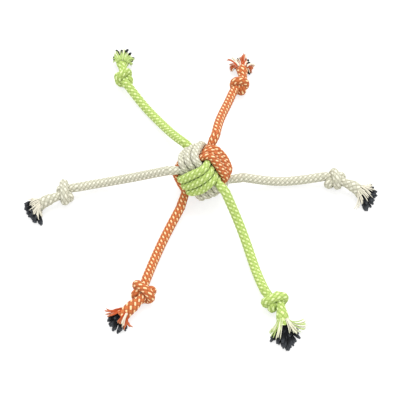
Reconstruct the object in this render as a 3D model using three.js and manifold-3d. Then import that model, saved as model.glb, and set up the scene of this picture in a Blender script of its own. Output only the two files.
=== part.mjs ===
// Rope dog toy: three braided cotton ropes knotted together into a monkey's-fist ball.
// Each rope gives two legs; every leg ends in an overhand knot, a short tail and a frayed end.
// Millimetres, +Z up, the floor is Z = 0 and the ball stands over the origin before the last shift.
import * as THREE from 'three';
import { mergeVertices } from 'three/addons/utils/BufferGeometryUtils.js';
import Module from 'manifold-3d';

const wasm = await Module();
wasm.setup();

// Rope
const ROPE_D = 12;            // free rope, relaxed
const COVER_WALL = 2.3;       // braided cover round the core yarns
const ROPE_SIDES = 10;
const CUT_GAP = 0.3;          // between faces that touch on the real toy
const FLAT_SHARE = 0.1;       // how deep the floor flattens a rope, of its diameter

// Ball, a monkey's fist of three bands
const STRAND_D = 9;           // rope pulled tight over a face of the ball
const STRAND_PITCH = 9.5;
const TUCK_D = 6.8;           // rope squeezed where it dives under the next band
const TUCK_PITCH = 8.3;
const LAYER_GAP = 1.15;       // between a tucked layer and the layer over or under it
const EDGE_BEND = 7;          // centre-line radius where a strand turns over an edge of the ball
const EXIT_RUN = 13;          // how far the under exit runs straight before it turns out
const OVER_EXIT_RUN = 5;      // and the over exit, past the middle of its face
const UNDER_EXIT_BEND = 10.7;
const OVER_EXIT_BEND = 14;
const STRAND_SIDES = 6;
const STACK_SHARES = [-1.5, -0.5, 0.5, 1.5];   // rows of a four-strand layer, of the pitch
const FACE_SHARES = [-0.68, 0.32, 1.32];       // rows on the three-strand face
const RETURN_SHARES = [-0.86, 0, 0.86];        // rows of the three-strand tuck
const UNDER_EXIT_SHARES = [0.5, 0.35, -0.79];  // ways out, of the ball's own axes
const OVER_EXIT_SHARES = [-0.42, -0.5, 0.76];
const OVER_RUN_SHARES = [0, -1, 0.12];         // past its face's middle, leaning off its neighbour
const OWN_RUN_SHARE = 3;      // of the strand, how far along it is its own neighbour
const BALL_TURN = THREE.MathUtils.degToRad(-95);
const BALL_TILT = THREE.MathUtils.degToRad(11);

// Knot: an overhand knot whose strand is squeezed thinner than the free rope
const KNOT_STRAND_D = 8.2;
const KNOT_SIDES = 6;
const KNOT_STEPS = 36;
const KNOT_DROP_SHARE = 1.85;    // from the knot's middle to its underside, of its strand
const KNOT_OWN_RUN_SHARE = 1.75; // of its strand, how far along it is its own neighbour
const KNOT_SHARES = [            // first half of the course, of its strand
  [-2.1, 0.54, 0.04], [-1.55, 0.54, 0.04], [-0.9, 0.56, 0.07], [-0.2, 0.56, 0.07], [0.35, 0.6, 0.06],
  [0.85, 0.74, 0.02], [1.24, 0.87, -0.2], [1.42, 0.9, -0.62], [1.28, 0.74, -1.04], [0.92, 0.36, -1.3],
  [0.64, -0.28, -1.35], [0.46, -0.98, -1.12], [0.3, -1.56, -0.54], [0.2, -1.72, 0.15], [0.12, -1.32, 0.86],
  [0.05, -0.65, 1.15], [0, 0, 1.2],
];

// Leg stations, measured along the rope from the ball
const ROOT_LENGTH = 26;
const BEND_LENGTH = 28;
const BEND_PLACE_SHARE = 0.56;   // middle of the bending stretch, of the leg's length
const COURSE_DIVISIONS = 600;
const TAIL_STEPS = 4;
const TAIL_DROP_SHARE = 0.25;    // of the tail's length; the splayed yarns prop its end up

// Frayed end
const YARN_SLICE = 2.4;
const COVER_BUNCHES = 8;
const CORE_BUNCHES = 6;
const COVER_YARN_D = 2.6;
const CORE_YARN_D = 2.5;
const FRAY_LENGTH = 15;
const FRAY_SIDES = 3;
const TIP_TAPER_SHARE = 0.45;
const FRAY_SHARES = [1, 0.82, 1.12, 0.9, 1.05];
const COVER_SPLAY = THREE.MathUtils.degToRad(95);
const CORE_SPLAY = THREE.MathUtils.degToRad(42);

// The floor block that trims whatever rests on it
const FLOOR_SPAN = 600;
const FLOOR_DEPTH = 30;

const ROPE_R = ROPE_D / 2;

const COTTON = { roughness: 0.9, metalness: 0 };
const finish = {
  green: new THREE.MeshStandardMaterial({ color: 0xb9d764, ...COTTON }),
  orange: new THREE.MeshStandardMaterial({ color: 0xdc642d, ...COTTON }),
  beige: new THREE.MeshStandardMaterial({ color: 0xcdc8af, ...COTTON }),
  core: new THREE.MeshStandardMaterial({ color: 0x191b20, ...COTTON }),
  filler: new THREE.MeshStandardMaterial({ color: 0xb8b4a6, ...COTTON }),
};

// The six legs as they lie, seen from above with the ball at 0, 0. A knot has its centre, its heading
// and its hand; turnIn and turnOut are how far the rope bends as it enters and leaves. The tail has its
// length, and tailTurn is how far it bends on. The route's points are chosen by hand.
const LEGS = [
  {
    name: 'green_back_left', colour: 'green', exit: 'over',
    route: [[-32.5, 58.5, 22], [-44.5, 78.5, 13.5], [-60.5, 102, 6.5], [-81, 126.5, 5]],
    knot: [-106, 166], heading: 126, hand: 1, turnIn: -6, turnOut: 24, tailTurn: -14, tail: 12,
  },
  {
    name: 'green_front_right', colour: 'green', exit: 'under',
    route: [[35, -49.5, 36], [43.5, -63.5, 23], [52.5, -82.5, 11.5], [60, -109, 6], [66, -131.5, 6]],
    knot: [86, -170], heading: -70, hand: -1, turnIn: 12, turnOut: 0, tailTurn: -4, tail: 12,
  },
  {
    name: 'orange_front_left', colour: 'orange', exit: 'over',
    route: [[-36.5, -54.5, 8.5], [-46.5, -75, 5], [-57.5, -104, 5]],
    knot: [-71, -158], heading: -127, hand: -1, turnIn: 20, turnOut: -8, tailTurn: -8, tail: 25,
  },
  {
    name: 'orange_back', colour: 'orange', exit: 'under',
    route: [[17, 55, 54.5], [22, 73.5, 45], [28.5, 98, 33], [35.5, 120, 22]],
    knot: [49.5, 153.5], heading: 84, hand: 1, turnIn: 20, turnOut: -8, tailTurn: 0, tail: 12,
  },
  {
    name: 'beige_right', colour: 'beige', exit: 'over',
    route: [[68.5, 0.5, 14.5], [88.5, 2, 8.5], [111.5, 3.5, 5]],
    knot: [168.5, 3], heading: 5, hand: 1, turnIn: 0, turnOut: 28, tailTurn: -14, tail: 19,
  },
  {
    name: 'beige_left', colour: 'beige', exit: 'under',
    route: [[-57, -7, 44], [-74.5, -5, 34], [-94, -2, 22.5], [-115, 1, 12], [-138.5, 0, 6.5]],
    knot: [-174, -17], heading: -170, hand: -1, turnIn: 0, turnOut: 12, tailTurn: 4, tail: 19,
  },
];

const toy = new THREE.Group();

function addPiece(name, geometry, material) {
  const piece = new THREE.Mesh(geometry, material);
  piece.name = name;
  toy.add(piece);
}

// A closed tube of changing thickness: one ring of points at each place, and a flat cap at each end
function sweptTube(places, radii, sides) {
  const tangents = places.map((place, i) => {
    const before = places[Math.max(i - 1, 0)];
    const after = places[Math.min(i + 1, places.length - 1)];
    const back = place.clone().sub(before).normalize();
    const on = after.clone().sub(place).normalize();
    return back.add(on).normalize();
  });
  const seed = Math.abs(tangents[0].z) > Math.SQRT1_2 ? new THREE.Vector3(1, 0, 0) : new THREE.Vector3(0, 0, 1);
  const side = seed.cross(tangents[0]).normalize();
  const corners = [];
  places.forEach((place, i) => {
    side.addScaledVector(tangents[i], -side.dot(tangents[i])).normalize();
    const other = tangents[i].clone().cross(side);
    for (let k = 0; k < sides; k += 1) {
      const angle = 2 * Math.PI * k / sides;
      const corner = place.clone();
      corner.addScaledVector(side, radii[i] * Math.cos(angle));
      corner.addScaledVector(other, radii[i] * Math.sin(angle));
      corners.push(corner.x, corner.y, corner.z);
    }
  });
  const faces = [];
  const last = (places.length - 1) * sides;
  for (let i = 0; i < last; i += sides) {
    for (let k = 0; k < sides; k += 1) {
      const next = (k + 1) % sides;
      faces.push(i + k, i + next, i + sides + k);
      faces.push(i + next, i + sides + next, i + sides + k);
    }
  }
  for (let k = 1; k < sides - 1; k += 1) {
    faces.push(0, k + 1, k);
    faces.push(last, last + k, last + k + 1);
  }
  const geometry = new THREE.BufferGeometry();
  geometry.setAttribute('position', new THREE.Float32BufferAttribute(corners, 3));
  geometry.setIndex(faces);
  return geometry;
}

function toSolid(geometry) {
  const plain = new THREE.BufferGeometry();
  plain.setAttribute('position', geometry.getAttribute('position').clone());
  if (geometry.getIndex()) plain.setIndex(geometry.getIndex().clone());
  const closed = mergeVertices(plain);
  return new wasm.Manifold(new wasm.Mesh({
    numProp: 3,
    vertProperties: new Float32Array(closed.getAttribute('position').array),
    triVerts: new Uint32Array(closed.getIndex().array),
  }));
}

function toGeometry(solid) {
  const mesh = solid.getMesh();
  const geometry = new THREE.BufferGeometry();
  geometry.setAttribute('position', new THREE.Float32BufferAttribute(mesh.vertProperties, 3));
  geometry.setIndex(Array.from(mesh.triVerts));
  return geometry;
}

function joined(geometries) {
  return toGeometry(geometries.map(toSolid).reduce((sum, next) => sum.add(next)));
}

// The floor presses a flat on whatever rests on it
const floorBlock = toSolid(new THREE.BoxGeometry(FLOOR_SPAN, FLOOR_SPAN, FLOOR_DEPTH)
  .translate(0, 0, -FLOOR_DEPTH / 2));

function restOnFloor(geometry) {
  geometry.computeBoundingBox();
  return geometry.boundingBox.min.z < 0 ? toGeometry(toSolid(geometry).subtract(floorBlock)) : geometry;
}

// Least clearance between two swept tubes, or of one tube to itself past a given run of its length
function leastGap(a, b, ownRun = 0) {
  const runs = [0];
  a.places.forEach((place, i) => {
    if (i > 0) runs.push(runs[i - 1] + place.distanceTo(a.places[i - 1]));
  });
  let least = Infinity;
  for (let i = 1; i < a.places.length; i += 1) {
    const line = new THREE.Line3(a.places[i - 1], a.places[i]);
    for (let k = 0; k < b.places.length; k += 1) {
      if (ownRun > 0 && Math.min(Math.abs(runs[k] - runs[i - 1]), Math.abs(runs[k] - runs[i])) < ownRun) continue;
      const near = line.closestPointToPoint(b.places[k], true, new THREE.Vector3());
      const reach = Math.max(a.radii[i - 1], a.radii[i]) + b.radii[k];
      least = Math.min(least, near.distanceTo(b.places[k]) - reach);
    }
  }
  return least;
}

// One band of the ball in the ball's own axes. It stands upright on the +X and -X faces and tucks
// through at +Y and -Y, three and a half turns in all, as one unbroken rope from leg to leg.
const TUCK_REACH = STACK_SHARES[3] * TUCK_PITCH + TUCK_D + LAYER_GAP;
const FACE_REACH = TUCK_REACH + (TUCK_D + STRAND_D) / 2 + LAYER_GAP;
const CORNER_STEPS = 4;

// From the middle of a tuck, over one edge, to the middle of a face, in the plane of the turn
function quarterTurn(faceSign, tuckSign) {
  const edgeX = FACE_REACH - EDGE_BEND;
  const edgeY = TUCK_REACH - EDGE_BEND;
  const run = [new THREE.Vector2(0, tuckSign * TUCK_REACH)];
  run.push(new THREE.Vector2(faceSign * edgeX / 2, tuckSign * TUCK_REACH));
  for (let i = 0; i <= CORNER_STEPS; i += 1) {
    const angle = Math.PI / 2 * i / CORNER_STEPS;
    run.push(new THREE.Vector2(
      faceSign * (edgeX + EDGE_BEND * Math.sin(angle)),
      tuckSign * (edgeY + EDGE_BEND * Math.cos(angle)),
    ));
  }
  run.push(new THREE.Vector2(faceSign * FACE_REACH, 0));
  return run;
}

function bandCourse() {
  const places = [];
  const radii = [];
  const layRun = (run, fromRow, toRow, fromR, toR) => {
    const along = [0];
    for (let i = 1; i < run.length; i += 1) along.push(along[i - 1] + run[i].distanceTo(run[i - 1]));
    run.forEach((spot, i) => {
      if (i === 0 && places.length > 0) return;
      const ease = THREE.MathUtils.smoothstep(along[i], 0, along[run.length - 1]);
      places.push(new THREE.Vector3(spot.x, spot.y, THREE.MathUtils.lerp(fromRow, toRow, ease)));
      radii.push(THREE.MathUtils.lerp(fromR, toR, ease));
    });
  };
  const strandR = STRAND_D / 2;
  const tuckR = TUCK_D / 2;
  STACK_SHARES.forEach((share, turn) => {
    layRun(quarterTurn(-1, 1), share * TUCK_PITCH, share * STRAND_PITCH, tuckR, strandR);
    if (turn === FACE_SHARES.length) return;
    const back = RETURN_SHARES[turn] * STRAND_PITCH;
    const front = FACE_SHARES[turn] * STRAND_PITCH;
    layRun(quarterTurn(-1, -1).reverse(), share * STRAND_PITCH, back, strandR, tuckR);
    layRun(quarterTurn(1, -1), back, front, tuckR, strandR);
    layRun(quarterTurn(1, 1).reverse(), front, STACK_SHARES[turn + 1] * TUCK_PITCH, strandR, tuckR);
  });

  // The under exit leaves the first tuck, the over exit leaves the last strand of the -X face
  const under = exitRun(new THREE.Vector3(EXIT_RUN, TUCK_REACH, STACK_SHARES[0] * TUCK_PITCH),
    new THREE.Vector3(1, 0, 0), UNDER_EXIT_SHARES, UNDER_EXIT_BEND, tuckR);
  under.places.unshift(new THREE.Vector3(EXIT_RUN / 2, TUCK_REACH, STACK_SHARES[0] * TUCK_PITCH));
  under.radii.unshift(tuckR);
  const faceRun = new THREE.Vector3(...OVER_RUN_SHARES).normalize();
  const faceEnd = places[places.length - 1].clone().addScaledVector(faceRun, OVER_EXIT_RUN);
  const over = exitRun(faceEnd, faceRun, OVER_EXIT_SHARES, OVER_EXIT_BEND, strandR);
  return {
    places: [...under.places.reverse(), ...places, ...over.places],
    radii: [...under.radii.reverse(), ...radii, ...over.radii],
  };
}

// An arc from one heading to another, swelling to the free rope, then one diameter straight on
function exitRun(start, heading, outShares, bend, startR) {
  const steps = 4;
  const wayOut = new THREE.Vector3(...outShares).normalize();
  const swing = heading.angleTo(wayOut);
  const inward = wayOut.clone().addScaledVector(heading, -wayOut.dot(heading)).normalize();
  const places = [];
  const radii = [];
  for (let i = 0; i <= steps; i += 1) {
    const angle = swing * i / steps;
    const place = start.clone().addScaledVector(heading, bend * Math.sin(angle));
    places.push(place.addScaledVector(inward, bend * (1 - Math.cos(angle))));
    radii.push(THREE.MathUtils.lerp(startR, ROPE_R, Math.max(0, i - steps / 2) / steps));
  }
  const end = places[steps];
  places.push(end.clone().addScaledVector(wayOut, ROPE_R), end.clone().addScaledVector(wayOut, ROPE_D));
  radii.push(ROPE_R, ROPE_R);
  return { places, radii };
}

// The ball stands on the corner with no leg, tilted towards the front
const ballPose = new THREE.Quaternion()
  .setFromUnitVectors(new THREE.Vector3(1, 1, 1).normalize(), new THREE.Vector3(0, 0, 1))
  .premultiply(new THREE.Quaternion().setFromAxisAngle(new THREE.Vector3(0, 0, 1), BALL_TURN))
  .premultiply(new THREE.Quaternion().setFromAxisAngle(new THREE.Vector3(1, 0, 0), BALL_TILT));

// Turning X to Y to Z and back to X carries one band onto the next
const course = bandCourse();
const bands = ['green', 'orange', 'beige'].map((colour, turn) => {
  const swap = [
    (p) => p.clone(),
    (p) => new THREE.Vector3(p.z, p.x, p.y),
    (p) => new THREE.Vector3(p.y, p.z, p.x),
  ][turn];
  return { colour, places: course.places.map((p) => swap(p).applyQuaternion(ballPose)), radii: course.radii };
});
const lowest = Math.min(...bands.flatMap((band) => band.places.map((p, i) => (
  p.length() < FACE_REACH + STRAND_D ? p.z - band.radii[i] : Infinity))));
const BALL_Z = -lowest - STRAND_D * FLAT_SHARE;
const ballCentre = new THREE.Vector3(0, 0, BALL_Z);

bands.forEach((band) => {
  band.places.forEach((p) => p.add(ballCentre));
  console.log(`${band.colour} winding, least gap to itself`,
    leastGap(band, band, OWN_RUN_SHARE * STRAND_D).toFixed(2));
  addPiece(`${band.colour}_fist_winding`, restOnFloor(sweptTube(band.places, band.radii, STRAND_SIDES)),
    finish[band.colour]);
});
console.log('green winding, least gap to orange', leastGap(bands[0], bands[1]).toFixed(2));
console.log('green winding, least gap to beige', leastGap(bands[0], bands[2]).toFixed(2));

// The ball is wound round a core of packed cotton waste
const coreRadius = TUCK_REACH - TUCK_D / 2 - CUT_GAP;
addPiece('fist_core', new THREE.SphereGeometry(coreRadius, 20, 12).translate(0, 0, BALL_Z), finish.filler);

// A length of one rope's course, measured along it
class Stretch extends THREE.Curve {
  constructor(course, from, to) {
    super();
    this.course = course;
    this.from = from;
    this.to = to;
  }

  getPoint(share, target = new THREE.Vector3()) {
    const along = THREE.MathUtils.lerp(this.from, this.to, share);
    return this.course.getPointAt(THREE.MathUtils.clamp(along / this.course.getLength(), 0, 1), target);
  }
}

function ring(radius, PathClass) {
  const corners = [];
  for (let i = 0; i < ROPE_SIDES; i += 1) {
    const angle = 2 * Math.PI * i / ROPE_SIDES;
    corners.push(new THREE.Vector2(radius * Math.cos(angle), radius * Math.sin(angle)));
  }
  return new PathClass(corners);
}

function ropeStretch(path, steps, outerR, innerR = 0) {
  const section = ring(outerR, THREE.Shape);
  if (innerR > 0) section.holes.push(ring(innerR, THREE.Path));
  return new THREE.ExtrudeGeometry(section, { steps, extrudePath: path, bevelEnabled: false });
}

function headingVector(degrees) {
  const angle = THREE.MathUtils.degToRad(degrees);
  return new THREE.Vector3(Math.cos(angle), Math.sin(angle), 0);
}

// The knot in its own axes: the rope enters along +X, passes through its own ring, turns back over
// the top, goes once round as the ring and passes through again. Its two ends swing in the flat.
function knotCourse(leg, centre) {
  const half = KNOT_SHARES.map(([x, y, z]) => new THREE.Vector3(x, y, z));
  const other = half.slice(0, -1).reverse().map((p) => new THREE.Vector3(-p.x, -p.y, p.z));
  const shares = [...half, ...other];
  const up = new THREE.Vector3(0, 0, 1);
  const swingEnd = (end, pivot, degrees) => end.forEach((p) => {
    p.sub(pivot).applyAxisAngle(up, THREE.MathUtils.degToRad(-degrees)).add(pivot);
  });
  swingEnd(shares.slice(0, 2), shares[2], leg.turnIn);
  swingEnd(shares.slice(-2), shares[shares.length - 3], leg.turnOut);
  const curve = new THREE.CatmullRomCurve3(shares);
  curve.arcLengthDivisions = KNOT_STEPS * KNOT_STEPS;
  const along = headingVector(leg.heading);
  const across = new THREE.Vector3(-along.y, along.x, 0);
  const frame = new THREE.Matrix4().makeBasis(along, across, up).setPosition(centre);
  const places = curve.getSpacedPoints(KNOT_STEPS).map((p) => (
    p.multiply(new THREE.Vector3(1, leg.hand, 1)).multiplyScalar(KNOT_STRAND_D).applyMatrix4(frame)));
  const stepLength = curve.getLength() * KNOT_STRAND_D / KNOT_STEPS;
  const radii = places.map((p, i) => {
    const fromEnd = Math.min(i, KNOT_STEPS - i) * stepLength;
    const squeezed = THREE.MathUtils.smoothstep(fromEnd, ROPE_R / 2, ROPE_D);
    return THREE.MathUtils.lerp(ROPE_R, KNOT_STRAND_D / 2, squeezed);
  });
  return {
    places,
    radii,
    inward: headingVector(leg.heading - leg.hand * leg.turnIn),
    outward: headingVector(leg.heading - leg.hand * leg.turnOut),
  };
}

// Yarn bunches leave a slice of the rope and splay out; the floor stops the lowest ones
function bunches(count, spread, splay, yarnD, floorZ, end, along) {
  const up = new THREE.Vector3(0, 0, 1);
  const across = up.clone().cross(along).normalize();
  const over = along.clone().cross(across);
  const steps = 3;
  const strands = [];
  for (let i = 0; i < count; i += 1) {
    const angle = 2 * Math.PI * (i + 0.5) / count;
    const outward = across.clone().multiplyScalar(Math.cos(angle)).addScaledVector(over, Math.sin(angle));
    const reach = FRAY_LENGTH * FRAY_SHARES[i % FRAY_SHARES.length];
    const bend = splay * FRAY_SHARES[(i + 2) % FRAY_SHARES.length];
    const places = [];
    const radii = [];
    for (let k = 0; k <= steps; k += 1) {
      const turned = bend * k / steps;
      const place = end.clone().addScaledVector(along, reach * Math.sin(turned) / bend);
      place.addScaledVector(outward, spread + reach * (1 - Math.cos(turned)) / bend);
      if (k > 0) place.z = Math.max(place.z, floorZ);
      places.push(place);
      radii.push(yarnD / 2 * (1 - TIP_TAPER_SHARE * (k / steps) ** 2));
    }
    strands.push(sweptTube(places, radii, FRAY_SIDES));
  }
  return strands;
}

LEGS.forEach((leg) => {
  const material = finish[leg.colour];
  const band = bands.find((one) => one.colour === leg.colour);
  const ending = leg.exit === 'under' ? band.places.slice(0, 2) : band.places.slice(-2).reverse();
  const wayOut = ending[0].clone().sub(ending[1]).normalize();
  const start = ending[0].clone().addScaledVector(wayOut, CUT_GAP);

  const knotZ = KNOT_STRAND_D * (KNOT_DROP_SHARE - FLAT_SHARE);
  const knot = knotCourse(leg, new THREE.Vector3(...leg.knot, knotZ));
  const entry = knot.places[0].clone().addScaledVector(knot.inward, -CUT_GAP);
  const course = new THREE.CatmullRomCurve3([
    start,
    start.clone().addScaledVector(wayOut, ROPE_R),
    ...leg.route.map((p) => new THREE.Vector3(...p)),
    entry.clone().addScaledVector(knot.inward, -ROPE_R),
    entry,
  ]);
  course.arcLengthDivisions = COURSE_DIVISIONS;

  const length = course.getLength();
  const bendFrom = length * BEND_PLACE_SHARE - BEND_LENGTH / 2;
  const stations = [
    ['root', 0, ROOT_LENGTH, 5],
    ['inner_stretch', ROOT_LENGTH + CUT_GAP, bendFrom, 3],
    ['bend', bendFrom + CUT_GAP, bendFrom + BEND_LENGTH, 3],
    ['outer_stretch', bendFrom + BEND_LENGTH + CUT_GAP, length, 5],
  ];
  stations.forEach(([part, from, to, steps]) => {
    const tube = ropeStretch(new Stretch(course, from, to), steps, ROPE_R);
    addPiece(`${leg.name}_${part}`, restOnFloor(tube), material);
  });
  console.log(leg.name, 'length to the knot', length.toFixed(0), 'knot, least gap to itself',
    leastGap(knot, knot, KNOT_OWN_RUN_SHARE * KNOT_STRAND_D).toFixed(2));
  addPiece(`${leg.name}_knot`, restOnFloor(sweptTube(knot.places, knot.radii, KNOT_SIDES)), material);

  // Past the knot the braided cover is an open sleeve round the core yarns
  const tailStart = knot.places[KNOT_STEPS].clone().addScaledVector(knot.outward, CUT_GAP);
  const tailAlong = headingVector(leg.heading - leg.hand * leg.turnOut + leg.tailTurn);
  const middle = tailStart.clone().addScaledVector(knot.outward, leg.tail / 2);
  const tailEnd = middle.clone().addScaledVector(tailAlong, leg.tail / 2);
  tailEnd.z -= leg.tail * TAIL_DROP_SHARE;
  const tail = new THREE.QuadraticBezierCurve3(tailStart, middle, tailEnd);
  addPiece(`${leg.name}_tail_cover`, ropeStretch(tail, TAIL_STEPS, ROPE_R, ROPE_R - COVER_WALL), material);

  const way = tail.getTangent(1);
  const sliceStart = tailEnd.clone().addScaledVector(way, CUT_GAP);
  const sliceEnd = sliceStart.clone().addScaledVector(way, YARN_SLICE);
  const sliceMiddle = sliceStart.clone().lerp(sliceEnd, 0.5);
  const slice = new THREE.LineCurve3(sliceStart, sliceEnd);
  const coverSlice = ropeStretch(slice, 1, ROPE_R, ROPE_R - COVER_WALL);
  const coverBunches = bunches(COVER_BUNCHES, ROPE_R - COVER_WALL / 2, COVER_SPLAY, COVER_YARN_D,
    COVER_YARN_D / 2, sliceMiddle, way);
  addPiece(`${leg.name}_cover_yarns`, restOnFloor(joined([coverSlice, ...coverBunches])), material);

  const coreR = ROPE_R - COVER_WALL - 2 * CUT_GAP;
  const rodPlaces = [...tail.getSpacedPoints(TAIL_STEPS), sliceEnd];
  const rod = sweptTube(rodPlaces, rodPlaces.map(() => coreR), KNOT_SIDES);
  const coreBunches = bunches(CORE_BUNCHES, coreR - CORE_YARN_D / 2, CORE_SPLAY, CORE_YARN_D,
    COVER_YARN_D + CORE_YARN_D / 2 + CUT_GAP, sliceMiddle, way);
  addPiece(`${leg.name}_core_yarns`, joined([rod, ...coreBunches]), finish.core);
});

// The origin is the middle of the whole underside
const middle = new THREE.Box3().setFromObject(toy).getCenter(new THREE.Vector3());
toy.position.set(-middle.x, -middle.y, 0);

export default toy;
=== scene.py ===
"""Rope dog toy: three braided cotton ropes wound together into a ball, with six knotted and frayed legs."""
from math import cos, pi, radians, sin
from types import SimpleNamespace

import bpy
import numpy as np
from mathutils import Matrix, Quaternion, Vector


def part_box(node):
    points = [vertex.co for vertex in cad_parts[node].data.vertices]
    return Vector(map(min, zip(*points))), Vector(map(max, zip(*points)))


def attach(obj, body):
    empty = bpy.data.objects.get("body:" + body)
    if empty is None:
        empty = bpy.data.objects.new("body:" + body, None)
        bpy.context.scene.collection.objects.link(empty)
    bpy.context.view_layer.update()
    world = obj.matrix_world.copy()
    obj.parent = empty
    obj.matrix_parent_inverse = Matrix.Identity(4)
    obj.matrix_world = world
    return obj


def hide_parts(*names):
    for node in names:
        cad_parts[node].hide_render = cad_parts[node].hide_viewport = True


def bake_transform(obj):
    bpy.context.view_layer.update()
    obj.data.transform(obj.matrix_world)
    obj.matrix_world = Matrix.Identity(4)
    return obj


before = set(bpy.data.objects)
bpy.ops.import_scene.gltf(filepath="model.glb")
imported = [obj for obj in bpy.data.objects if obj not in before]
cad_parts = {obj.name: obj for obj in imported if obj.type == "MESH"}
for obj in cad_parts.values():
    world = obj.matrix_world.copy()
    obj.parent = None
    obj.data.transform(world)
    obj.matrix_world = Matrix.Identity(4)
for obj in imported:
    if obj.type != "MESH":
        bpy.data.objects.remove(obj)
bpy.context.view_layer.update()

# The camera
# It stands in front of the toy and looks down at it steeply, from so far away that the legs behind the
# ball look nearly as thick as the ones before it.
CAMERA_TILT = radians(32)      # from straight down
CAMERA_LEFT = 0.0033           # of the ball's middle
CAMERA_BACK = 0.8247
CAMERA_HEIGHT = 1.288
CAMERA_LENS = 107.6            # millimetres, as lenses are sold
CAMERA_SENSOR = 36

core_low, core_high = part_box("fist_core")
ball_centre = np.array((core_low + core_high) / 2)
camera = bpy.data.objects.new("camera", bpy.data.cameras.new("camera"))
camera.location = (ball_centre[0] - CAMERA_LEFT, ball_centre[1] - CAMERA_BACK, CAMERA_HEIGHT)
camera.rotation_euler = (CAMERA_TILT, 0, 0)
camera.data.lens = CAMERA_LENS
camera.data.sensor_width = CAMERA_SENSOR
bpy.context.scene.collection.objects.link(camera)
bpy.context.scene.camera = camera

# The rope's cover
# Cotton yarns braided into a sleeve round the core yarns: six turn one way and six the other, each over
# one and under one. A yarn has three plies side by side, and the middle ply of the first six is pale.
ROPE_R = 0.006
YARNS = 6                      # that turn the same way
PICK = {"green": 0.0067, "orange": 0.0061, "beige": 0.0063}    # between two crossings along the rope
RELIEF = 0.0007                # from the top of a yarn down to where it dives
RING_POINTS = 72
RING_STEP = 0.00056            # between rings
SPAN_STEPS = 40                # on the curve between two points
PALE_SIDE_FADE = (0.15, 0.23)  # from a yarn's middle, in its widths, where the pale ply fades out
PALE_END_FADE = (0.40, 0.52)   # and along it, in lengths between two dives
PALE_WANDER = 0.09             # of the pale ply's sides, as its fibres stray
# Painted shade in the creases, from the share of open sky that an ambient occlusion node finds
CREASE_REACH = 0.004           # within which another rope's side or the floor casts painted shade on the cover
CREASE_RAYS = 12
CREASE_SKY = (0.2, 0.72)       # share of open sky where a crease is darkest, and where it ends
CREASE_SHADE_SHARE = 0.6
CREASE_SHADE_TONE = 0.4              # of the deep colour, for the painted shade in the creases
COTTON_FIBRES = 2600           # noise scales, to the metre
COTTON_PATCHES = 90
NOISE_RANGE = (0.3, 0.7)       # where nearly all of a noise lies
# The deep colour paints shade at the dives and between the plies, and tints random patches:
DIVE_FROM = 0.33               # from a yarn's middle, where the painted shade of its dive sets in
DIVE_SHARE = 0.85              # of the deep colour where a yarn dives, as painted shade,
PATCH_SHARE = 0.22             # in the darkest patches,
PLY_SHARE = 0.22               # and between two plies, as painted shade
COTTON_BUMP = 0.00025
COTTON_ROUGHNESS = (0.72, 0.92)
COTTON_SHINE = 0.2
COTTON_SHEEN = 0.08
UP = np.array([0.0, 0.0, 1.0])


def unit(vectors):
    """Each vector divided by its own length."""
    return vectors / np.linalg.norm(vectors, axis=-1, keepdims=True)


def smooth_way(points):
    """A centripetal Catmull-Rom curve through the points. Each span is a cubic whose end slopes weigh the
    chords before, on and after it by the square roots of their lengths. Gives places at even steps along
    the curve, the step, and how far along each of the points lies."""
    p = np.asarray(points, float)
    p = np.vstack([2 * p[:1] - p[1:2], p, 2 * p[-1:] - p[-2:-1]])
    before, start, stop, after = p[:-3], p[1:-2], p[2:-1], p[3:]
    k0, k1, k2 = (np.linalg.norm(b - a, axis=1, keepdims=True) ** 0.5
                  for a, b in ((before, start), (start, stop), (stop, after)))
    leave = ((start - before) / k0 - (stop - before) / (k0 + k1) + (stop - start) / k1) * k1
    arrive = ((stop - start) / k1 - (after - start) / (k1 + k2) + (after - stop) / k2) * k1
    t = np.linspace(0, 1, SPAN_STEPS, endpoint=False)[:, None, None]
    fine = (start + leave * t + (3 * (stop - start) - 2 * leave - arrive) * t ** 2
            + (2 * (start - stop) + leave + arrive) * t ** 3)
    fine = np.vstack([fine.transpose(1, 0, 2).reshape(-1, 3), p[-2]])
    run = np.concatenate([[0], np.cumsum(np.linalg.norm(np.diff(fine, axis=0), axis=1))])
    even = np.linspace(0, run[-1], round(run[-1] / RING_STEP) + 1)
    places = np.column_stack([np.interp(even, run, fine[:, axis]) for axis in range(3)])
    return places, even[1], run[::SPAN_STEPS]


def carried_sides(ways):
    """One direction across the rope at each ring: the last ring's, less the part of it that lies along
    the way there, so that it never turns round the rope."""
    side = np.cross(ways[0], UP)
    sides = np.empty_like(ways)
    for ring, way in enumerate(ways):
        side = side - way * (side @ way)
        side = side / np.linalg.norm(side)
        sides[ring] = side
    return sides


def crossing(turn, pick):
    """Where a point of the cover lies on the yarn that is on top there. The yarns of one hand are counted
    by turn plus pick and those of the other by turn less pick; the first is on top where the two whole
    counts add up to an even number. Gives the place across that yarn and along it, from -0.5 to 0.5."""
    first, second = turn + pick, turn - pick
    first_over = (np.floor(first) + np.floor(second)) % 2 == 0
    across = np.where(first_over, first, second) % 1 - 0.5
    along = np.where(first_over, second, first) % 1 - 0.5
    return across, along


def yarn_height(turn, pick):
    """From 0 where a yarn dives to 1 on its top: a flattened half round across the yarn, times the square
    root of a cosine along it."""
    across, along = crossing(turn, pick)
    return (1 - (2 * across) ** 2) ** 0.4 * np.cos(pi * along) ** 0.5


def cover_rings(rope, rings, spare=0.0, relief=RELIEF):
    """Rings of the braided surface: round each place of the rope, a circle of its radius plus spare, let in
    by the relief where the yarns dive, and pressed flat where the floor is."""
    turn = np.arange(RING_POINTS) / RING_POINTS
    dive = 1 - yarn_height(turn * YARNS, rope.picks[rings, None])
    radius = rope.radii[rings, None] + spare - relief * dive
    outward = (rope.sides[rings, None] * np.cos(2 * pi * turn)[:, None]
               + rope.others[rings, None] * np.sin(2 * pi * turn)[:, None])
    points = rope.places[rings, None] + outward * radius[..., None]
    points[..., 2] = np.maximum(points[..., 2], 0)
    return points


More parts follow.
